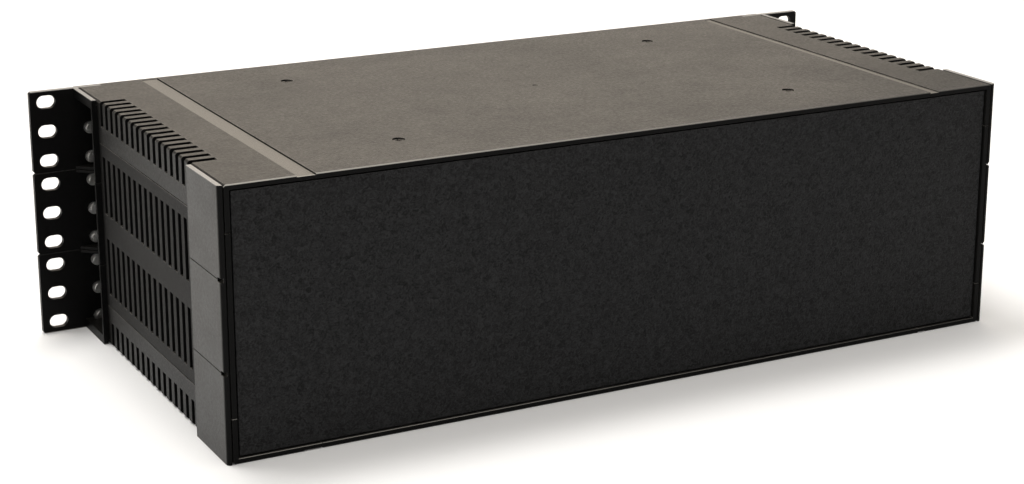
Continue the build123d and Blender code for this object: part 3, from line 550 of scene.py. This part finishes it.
rear_paint = texture_paint(
    "rear_panel_paint", (0.0015, 0.0016, 0.0018), (0.017, 0.0175, 0.0185), 0.6, 900.0, 0.0004, 0.15
)
front_paint = texture_paint(
    "front_panel_paint", (0.010, 0.010, 0.010), (0.016, 0.016, 0.016), 0.50, 1100.0, 0.00006, 0.35
)
finish_nodes(rear_paint, "rear_panel")
finish_nodes(front_paint, "front_panel")
ease_edges(0.3 * mm, "rear_panel")
ease_edges(0.2 * mm, "front_panel")


# ---- Screws, inserts, pillars and standoffs ----
# Zinc-plated steel: hexagon-socket panel screws in round threaded inserts, flange screws, and the
# turned pillars and standoffs inside. The cross-head cover screws in their recesses are blackened.


def make_fine_scratches():
    """Short fine scratches along X, and patches of duller plating."""
    group, given, result = start_group("fine_scratches", [("Fineness", 900.0)], ["Height", "Tone"])
    place = group.nodes.new("ShaderNodeTexCoord").outputs["Object"]
    stretch = group.nodes.new("ShaderNodeMapping")
    stretch.inputs["Scale"].default_value = (0.05, 1.0, 1.0)
    group.links.new(place, stretch.inputs["Vector"])
    lines = add_node(group, "ShaderNodeTexNoise", Detail=4.0, Roughness=0.7)
    group.links.new(stretch.outputs["Vector"], lines.inputs["Vector"])
    group.links.new(given.outputs["Fineness"], lines.inputs["Scale"])
    group.links.new(lines.outputs["Fac"], result.inputs["Height"])
    patches = add_node(group, "ShaderNodeTexNoise", Scale=160.0, Detail=5.0)
    group.links.new(place, patches.inputs["Vector"])
    group.links.new(
        spread(group, patches.outputs["Fac"], 0.0, 1.0, 0.3, 0.7), result.inputs["Tone"]
    )
    return group


fine_scratches = make_fine_scratches()


def metal(name, dark, light, gloss_low, gloss_high, fineness=900.0, depth=0.00001):
    """Bare or plated metal with fine scratches and duller patches."""
    material, tree, shader = start_material(name, gloss_low, metallic=1.0)
    marks = use_group(tree, fine_scratches, Fineness=fineness)
    tree.links.new(
        blend_colours(tree, marks.outputs["Tone"], dark, light), shader.inputs["Base Color"]
    )
    tree.links.new(
        spread(tree, marks.outputs["Tone"], gloss_high, gloss_low), shader.inputs["Roughness"]
    )
    raise_surface(tree, shader, marks.outputs["Height"], depth)
    return material


zinc_plate = metal("zinc_plate", (0.55, 0.55, 0.55), (0.78, 0.78, 0.76), 0.34, 0.5)
finish_nodes(
    zinc_plate, "panel_inserts", "panel_screws", "connector_screws", "cover_pillars",
    "board_standoffs",
)

black_oxide = metal(
    "black_oxide", (0.010, 0.010, 0.010), (0.026, 0.025, 0.024), 0.36, 0.5, 1500.0
)
finish_nodes(black_oxide, "cover_screws")


# ---- Chassis tray and ring-core transformer ----
# A bent sheet of mill-finish aluminium lies on the bottom plate. The transformer is a steel ring
# wound with enamelled wire under clear tape, held down by a steel disc, a rubber pad and one bolt.

tray_aluminium = metal("tray_aluminium", (0.55, 0.56, 0.57), (0.74, 0.75, 0.76), 0.35, 0.5, 500.0)
finish_nodes(tray_aluminium, "chassis_tray")

clamp_steel = metal("clamp_steel", (0.40, 0.38, 0.30), (0.58, 0.55, 0.42), 0.3, 0.45, 700.0)
finish_nodes(clamp_steel, "transformer_clamp", "transformer_bolt")

pad_rubber = moulded_plastic(
    "pad_rubber", (0.012, 0.012, 0.012), (0.02, 0.02, 0.02), 0.7, 0.85, pits=900.0, dust=0.1
)
finish_nodes(pad_rubber, "transformer_pad")

winding_tape, winding_tree, winding_shader = start_material("winding_tape", 0.3)
winding_low, winding_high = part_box("transformer")
winding_middle = (winding_low + winding_high) / 2
winding_turns = 190
around = winding_tree.nodes.new("ShaderNodeTexCoord").outputs["Object"]
centred = winding_tree.nodes.new("ShaderNodeMapping")
centred.inputs["Location"].default_value = (-winding_middle.x, -winding_middle.y, 0.0)
winding_tree.links.new(around, centred.inputs["Vector"])
sweep = winding_tree.nodes.new("ShaderNodeTexGradient")
sweep.gradient_type = "RADIAL"
winding_tree.links.new(centred.outputs["Vector"], sweep.inputs["Vector"])
turn_phase = calculate(winding_tree, "MULTIPLY", sweep.outputs["Fac"], winding_turns * 2 * pi)
turn_wave = calculate(winding_tree, "SINE", turn_phase, 0.0)
turn_mask = spread(winding_tree, turn_wave, 0.0, 1.0, -1.0, 1.0)
copper_tape = blend_colours(winding_tree, turn_mask, (0.17, 0.09, 0.025), (0.46, 0.28, 0.08))
winding_tree.links.new(copper_tape, winding_shader.inputs["Base Color"])
raise_surface(winding_tree, winding_shader, turn_mask, 0.0004)
finish_nodes(winding_tape, "transformer")


# ---- Heatsinks and power devices ----
# Two extruded aluminium heatsinks, black anodised, stand just behind the side vents. The output
# transistors are black epoxy blocks clamped flat to their inner faces.

anodised_black = metal(
    "anodised_black", (0.014, 0.014, 0.015), (0.03, 0.03, 0.032), 0.4, 0.55, 1200.0
)
finish_nodes(anodised_black, "left_heatsink", "right_heatsink")

device_epoxy = moulded_plastic(
    "device_epoxy", (0.010, 0.010, 0.010), (0.017, 0.017, 0.017), 0.45, 0.6, pits=2500.0, dust=0.15
)
finish_nodes(device_epoxy, "output_transistors", "bridge_rectifier")


# ---- Circuit boards and reservoir capacitors ----
# Glass-fibre boards with copper tracks under green solder resist, on steel standoffs. The four
# large capacitors are aluminium cans in shrunk plastic sleeves, soldered to the supply board.

board_green, board_tree, board_shader = start_material("board_green", 0.3)
board_place = board_tree.nodes.new("ShaderNodeTexCoord").outputs["Object"]
tracks = add_node(board_tree, "ShaderNodeTexVoronoi", Scale=170.0)
tracks.distance = "MANHATTAN"
tracks.feature = "F1"
board_tree.links.new(board_place, tracks.inputs["Vector"])
track_mask = spread(board_tree, tracks.outputs["Distance"], 0.0, 1.0, 0.42, 0.48)
board_tree.links.new(
    blend_colours(board_tree, track_mask, (0.010, 0.075, 0.032), (0.022, 0.14, 0.06)),
    board_shader.inputs["Base Color"],
)
raise_surface(board_tree, board_shader, track_mask, 0.00004)
finish_nodes(
    board_green, "left_amplifier_board", "right_amplifier_board", "power_supply_board", "input_board"
)

can_sleeve, can_tree, can_shader = start_material("capacitor_sleeve", 0.3)
can_facing = can_tree.nodes.new("ShaderNodeSeparateXYZ")
can_tree.links.new(can_tree.nodes.new("ShaderNodeNewGeometry").outputs["Normal"], can_facing.inputs[0])
can_top = spread(can_tree, can_facing.outputs["Z"], 0.0, 1.0, 0.93, 0.97)
can_grain = use_group(can_tree, moulded_grain, Pits_per_Metre=700.0)
sleeve_blue = blend_colours(
    can_tree, can_grain.outputs["Tone"], (0.010, 0.016, 0.060), (0.018, 0.028, 0.095)
)
can_tree.links.new(
    blend_colours(can_tree, can_top, sleeve_blue, (0.66, 0.66, 0.66)), can_shader.inputs["Base Color"]
)
can_tree.links.new(can_top, can_shader.inputs["Metallic"])
raise_surface(can_tree, can_shader, can_grain.outputs["Height"], 0.00003)
finish_nodes(can_sleeve, "filter_capacitors")


# ---- Power switch ----
# A glossy moulded housing snapped into the front panel, with a two-position rocker on side pins.
# The rocker carries the usual on and off marks in white, filled flush with its faces.

switch_gloss = moulded_plastic(
    "switch_gloss", (0.010, 0.010, 0.010), (0.013, 0.013, 0.013), 0.16, 0.24, pits=3000.0,
    pit_depth=0.00001, dust=0.1,
)
finish_nodes(switch_gloss, "switch_housing", "power_rocker")

mark_paint, mark_tree, mark_shader = start_material("mark_paint", 0.45)
mark_grain = use_group(mark_tree, moulded_grain, Pits_per_Metre=2500.0)
mark_tree.links.new(
    blend_colours(mark_tree, mark_grain.outputs["Tone"], (0.62, 0.62, 0.60), (0.74, 0.74, 0.72)),
    mark_shader.inputs["Base Color"],
)
raise_surface(mark_tree, mark_shader, mark_grain.outputs["Height"], 0.00002)


def add_bar(build, middle, size, turn=None):
    """Adds a flat printed bar with eased corners to a mesh being built."""
    made = bmesh.ops.create_cube(build, size=1.0)["verts"]
    bmesh.ops.scale(build, vec=size, verts=made)
    edges = {edge for vertex in made for edge in vertex.link_edges}
    made_bevel = bmesh.ops.bevel(
        build, geom=list(edges), offset=min(size) * 0.3, segments=1, affect="EDGES", profile=0.5
    )
    on_bevel = {v for face in made_bevel["faces"] for v in face.verts}
    moved = list(on_bevel | {v for v in made if v.is_valid})
    if turn:
        bmesh.ops.rotate(build, cent=(0, 0, 0), matrix=turn, verts=moved)
    bmesh.ops.translate(build, vec=middle, verts=moved)


def add_ring(build, middle, radius, width, thickness, turn, steps=36):
    """Adds a flat printed ring in the XZ plane, turned and moved into place."""
    corners = [
        (radius - width / 2, -thickness / 2), (radius + width / 2, -thickness / 2),
        (radius + width / 2, thickness / 2), (radius - width / 2, thickness / 2),
    ]
    loops = []
    for step in range(steps):
        angle = 2 * pi * step / steps
        loops.append([
            build.verts.new(turn @ Vector((r * cos(angle), y, r * sin(angle))) + middle)
            for r, y in corners
        ])
    for here, there in zip(loops, loops[1:] + loops[:1]):
        for k in range(4):
            build.faces.new((here[k], here[(k + 1) % 4], there[(k + 1) % 4], there[k]))


rocker_joint = next(j for j in frame["joints"] if j["child"] == "power_rocker")
rocker_axis = Vector(rocker_joint["pos_m"])
rocker_tilt = radians(10.0)
rocker_half_height = 10.8 * mm
valley_reach, end_reach = 3.6 * mm, 5.4 * mm
rocker_face_slope = atan2(end_reach - valley_reach, rocker_half_height)
mark_rise = 5.6 * mm
mark_thickness = 0.12 * mm
off_ring_radius, off_ring_width = 2.0 * mm, 0.6 * mm
on_bar_width, on_bar_height = 0.7 * mm, 4.4 * mm
mark_reach = valley_reach + mark_rise * tan(rocker_face_slope) + mark_thickness / 4
rocker_marks_build = bmesh.new()
for side in (1, -1):
    face_turn = Matrix.Rotation(rocker_tilt + side * rocker_face_slope, 3, "X")
    on_rocker = Vector((0, -mark_reach, side * mark_rise))
    mark_middle = rocker_axis + Matrix.Rotation(rocker_tilt, 3, "X") @ on_rocker
    if side > 0:
        add_ring(
            rocker_marks_build, mark_middle, off_ring_radius, off_ring_width, mark_thickness, face_turn
        )
    else:
        bar_size = (on_bar_width, mark_thickness, on_bar_height)
        add_bar(rocker_marks_build, mark_middle, bar_size, face_turn)
bmesh.ops.recalc_face_normals(rocker_marks_build, faces=rocker_marks_build.faces)
rocker_marks = new_piece("rocker_marks", rocker_marks_build, mark_paint)
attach(rocker_marks, "power_rocker")


# ---- Mains inlet and fuse ----
# A flanged three-blade inlet moulded in black nylon, with nickel-plated blades, and a round
# panel fuse holder whose cap locks with a quarter turn of a coin or screwdriver.

inlet_nylon = moulded_plastic(
    "inlet_nylon", (0.012, 0.012, 0.012), (0.017, 0.017, 0.017), 0.3, 0.42, pits=2200.0,
    pit_depth=0.00003, dust=0.1,
)
finish_nodes(inlet_nylon, "mains_inlet", "fuse_holder", "fuse_cap")

nickel = metal("nickel_plate", (0.52, 0.49, 0.44), (0.74, 0.71, 0.66), 0.16, 0.3, 1600.0)
finish_nodes(nickel, "inlet_blades")


# ---- Level controls ----
# Carbon-track controls bolted behind the panel, with ribbed black knobs pushed on their spindles.
# Each knob has a white line filled in, and the panel is printed with a scale from 0 to 10.

finish_nodes(nickel, "left_level_control", "right_level_control")
knob_plastic = moulded_plastic(
    "knob_plastic", (0.011, 0.011, 0.011), (0.016, 0.016, 0.016), 0.36, 0.46, pits=2600.0,
    pit_depth=0.00003, dust=0.15,
)
finish_nodes(knob_plastic, "left_level_knob", "right_level_knob")

panel_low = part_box("front_panel")[0]
print_thickness = 0.06 * mm
scale_inner = 15.0 * mm
tick_long, tick_short, tick_width = 3.0 * mm, 1.8 * mm, 0.5 * mm
digit_radius = 21.0 * mm
digit_height = 3.4 * mm
scale_sweep = radians(300)
pointer_size = (1.1 * mm, 0.6 * mm, 8.8 * mm)
pointer_sink, pointer_rise = 0.45 * mm, 7.5 * mm


def add_digits(build, text, middle, height):
    """Adds a printed number, standing upright on the front panel, to a mesh being built."""
    curve = bpy.data.curves.new("digits", "FONT")
    curve.body = text
    curve.size = height
    curve.align_x, curve.align_y = "CENTER", "CENTER"
    curve.extrude = print_thickness / 2
    holder = bpy.data.objects.new("digits", curve)
    bpy.context.scene.collection.objects.link(holder)
    bpy.context.view_layer.update()
    shape = bpy.data.meshes.new_from_object(holder.evaluated_get(bpy.context.evaluated_depsgraph_get()))
    bpy.data.objects.remove(holder)
    bpy.data.curves.remove(curve)
    shape.transform(Matrix.Translation(middle) @ Matrix.Rotation(pi / 2, 4, "X"))
    build.from_mesh(shape)
    bpy.data.meshes.remove(shape)


for side in sides:
    knob_name = f"{side}_level_knob"
    knob_low, knob_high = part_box(knob_name)
    knob_middle = (knob_low + knob_high) / 2

    scale_build = bmesh.new()
    print_y = panel_low.y - print_thickness / 2
    for number in range(11):
        angle = pi / 2 + scale_sweep / 2 - scale_sweep * number / 10
        length = tick_long if number % 5 == 0 else tick_short
        outward = Vector((cos(angle), 0, sin(angle)))
        at = Vector((knob_middle.x, print_y, knob_middle.z)) + outward * (scale_inner + length / 2)
        tick_turn = Matrix.Rotation(-angle, 3, "Y")
        add_bar(scale_build, at, (length, print_thickness, tick_width), tick_turn)
        if number % 2 == 0:
            at = Vector((knob_middle.x, print_y, knob_middle.z)) + outward * digit_radius
            add_digits(scale_build, str(number), at, digit_height)
    level_scale = new_piece(f"{side}_level_scale", scale_build, mark_paint)
    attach(level_scale, "enclosure")

    pointer_build = bmesh.new()
    pointer_at = Vector((knob_middle.x, knob_low.y + pointer_sink, knob_middle.z + pointer_rise))
    add_bar(pointer_build, pointer_at, pointer_size)
    pointer = new_piece(f"{side}_level_pointer", pointer_build, mark_paint)
    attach(pointer, knob_name)


# ---- Input and speaker sockets ----
# Round sockets with square flanges, each held by two screws. The inputs have three sleeves and a
# nickel-plated latch tab that is pressed to let the plug go. The outputs have four blade contacts.

socket_nylon = moulded_plastic(
    "socket_nylon", (0.010, 0.010, 0.0105), (0.015, 0.015, 0.016), 0.34, 0.46, pits=2200.0,
    pit_depth=0.00003, dust=0.12,
)
finish_nodes(
    socket_nylon, "left_input_socket", "right_input_socket", "input_cores", "left_speaker_socket",
    "right_speaker_socket",
)
finish_nodes(nickel, "left_latch_tab", "right_latch_tab")

sleeve_circle = 4.8 * mm
sleeve_outer, sleeve_inner = 1.35 * mm, 1.0 * mm
sleeve_length = 8.0 * mm
sleeve_depth = 1.5 * mm
contact_circle = 9.2 * mm
contact_size = (0.8 * mm, 9.0 * mm, 3.0 * mm)
contact_depth = 9.5 * mm


def add_tube(build, mouth, outer, inner, length, steps=20):
    """Adds a short open tube that runs along +Y from its mouth."""
    rims = [(outer, 0.0), (outer, length), (inner, length), (inner, 0.0)]
    loops = []
    for step in range(steps):
        angle = 2 * pi * step / steps
        loops.append([
            build.verts.new(mouth + Vector((r * cos(angle), y, r * sin(angle)))) for r, y in rims
        ])
    for here, there in zip(loops, loops[1:] + loops[:1]):
        for k in range(4):
            build.faces.new((here[k], here[(k + 1) % 4], there[(k + 1) % 4], there[k]))


for side in sides:
    socket_low, socket_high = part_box(f"{side}_input_socket")
    middle = (socket_low + socket_high) / 2
    sleeves_build = bmesh.new()
    for k in range(3):
        angle = pi / 2 + k * 2 * pi / 3
        mouth = Vector((
            middle.x + sleeve_circle * cos(angle),
            socket_low.y + sleeve_depth,
            middle.z + sleeve_circle * sin(angle),
        ))
        add_tube(sleeves_build, mouth, sleeve_outer, sleeve_inner, sleeve_length)
    bmesh.ops.recalc_face_normals(sleeves_build, faces=sleeves_build.faces)
    sleeves = new_piece(f"{side}_input_sleeves", sleeves_build, nickel)
    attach(sleeves, "enclosure")

    socket_low, socket_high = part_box(f"{side}_speaker_socket")
    middle = (socket_low + socket_high) / 2
    contacts_build = bmesh.new()
    for k in range(4):
        angle = pi / 4 + k * pi / 2
        at = Vector((
            middle.x + contact_circle * cos(angle),
            socket_low.y + contact_depth,
            middle.z + contact_circle * sin(angle),
        ))
        turn = Matrix.Rotation(-angle, 3, "Y")
        add_bar(contacts_build, at, contact_size, turn)
    contacts = new_piece(f"{side}_speaker_contacts", contacts_build, nickel)
    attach(contacts, "enclosure")


# ---- Indicators ----
# Three small coloured lenses pressed into the front panel: power in green, and one overload
# warning for each channel beside its level control.

lens_plastic, lens_tree, lens_shader = start_material("indicator_lens", 0.12)
lens_place = lens_tree.nodes.new("ShaderNodeSeparateXYZ")
lens_tree.links.new(
    lens_tree.nodes.new("ShaderNodeTexCoord").outputs["Object"], lens_place.inputs[0]
)
power_lens_edge, power_lens_fade = -80.0 * mm, 1.0 * mm
lens_side = spread(
    lens_tree, lens_place.outputs["X"], 0.0, 1.0, power_lens_edge, power_lens_edge + power_lens_fade
)
lens_tree.links.new(
    blend_colours(lens_tree, lens_side, (0.03, 0.42, 0.08), (0.42, 0.03, 0.02)),
    lens_shader.inputs["Base Color"],
)
lens_shader.inputs["Coat Weight"].default_value = 0.6
finish_nodes(lens_plastic, "indicator_lenses")
